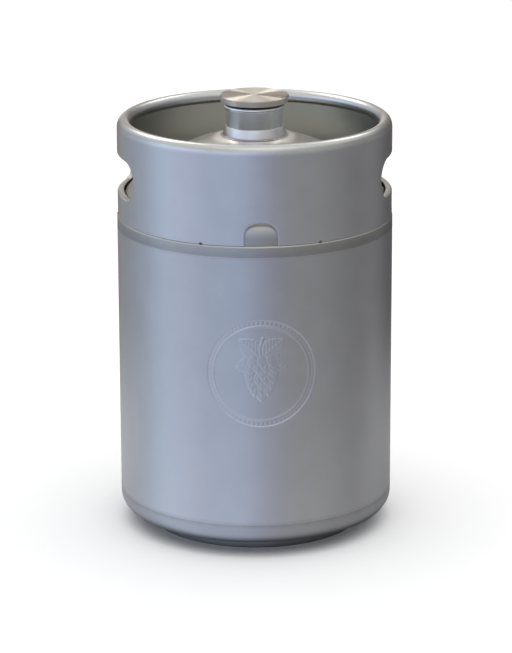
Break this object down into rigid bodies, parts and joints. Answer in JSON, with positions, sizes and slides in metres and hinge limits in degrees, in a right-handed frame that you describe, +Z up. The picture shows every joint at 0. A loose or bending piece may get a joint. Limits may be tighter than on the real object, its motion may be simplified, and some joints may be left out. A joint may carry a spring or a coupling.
{
  "type": "mini keg",
  "caption": "Welded stainless mini keg with a rolled carrying collar, two hand holes, a flared neck and a screw cap over a rubber seal.",
  "frame": {"origin": "centre of the foot ring's underside, on the floor", "axes": "+Z up the keg's axis; -Y is the front, where a drain notch and the medallion's side are; the hand holes are at +X and -X"},
  "size_m": [0.2226, 0.2226, 0.3536],
  "materials": {
    "satin_steel": "satin, fine even blasted grain",
    "weld_steel": "fine rippled weld bead, faint straw tint",
    "tack_steel": "small darkened tack welds",
    "brushed_ring_steel": "bright brushed around the axis",
    "polished_steel": "bright turned and polished",
    "turned_steel": "lathe turned, fine rings on the top face",
    "seal_rubber": "matt black"
  },
  "bodies": {
    "keg": {"shell": "satin_steel", "shell_seam": "weld_steel", "base_head": "satin_steel", "lower_weld": "weld_steel", "foot_ring": "satin_steel", "foot_welds": "weld_steel", "top_head": "satin_steel", "upper_weld": "weld_steel", "collar": "satin_steel", "collar_seam": "weld_steel", "collar_tacks": "tack_steel", "neck_ring": "brushed_ring_steel", "neck_tube": "polished_steel", "neck_weld": "weld_steel", "neck_thread": "polished_steel"},
    "seal": {"cap_seal": "seal_rubber"},
    "cap": {"cap": "turned_steel", "cap_thread": "turned_steel"}
  },
  "joints": [
    {"name": "cap_lift", "type": "slide", "parent": "keg", "child": "seal", "axis": [0, 0, 1], "range_m": [0, 0.01]},
    {"name": "cap_turn", "type": "hinge", "parent": "seal", "child": "cap", "pos_m": [0, 0, 0.34], "axis": [0, 0, 1], "range_deg": [0, 900]}
  ],
  "couplings": [
    {"joint": "cap_lift", "follows": "cap_turn", "m_per_rad": 0.00063662}
  ]
}
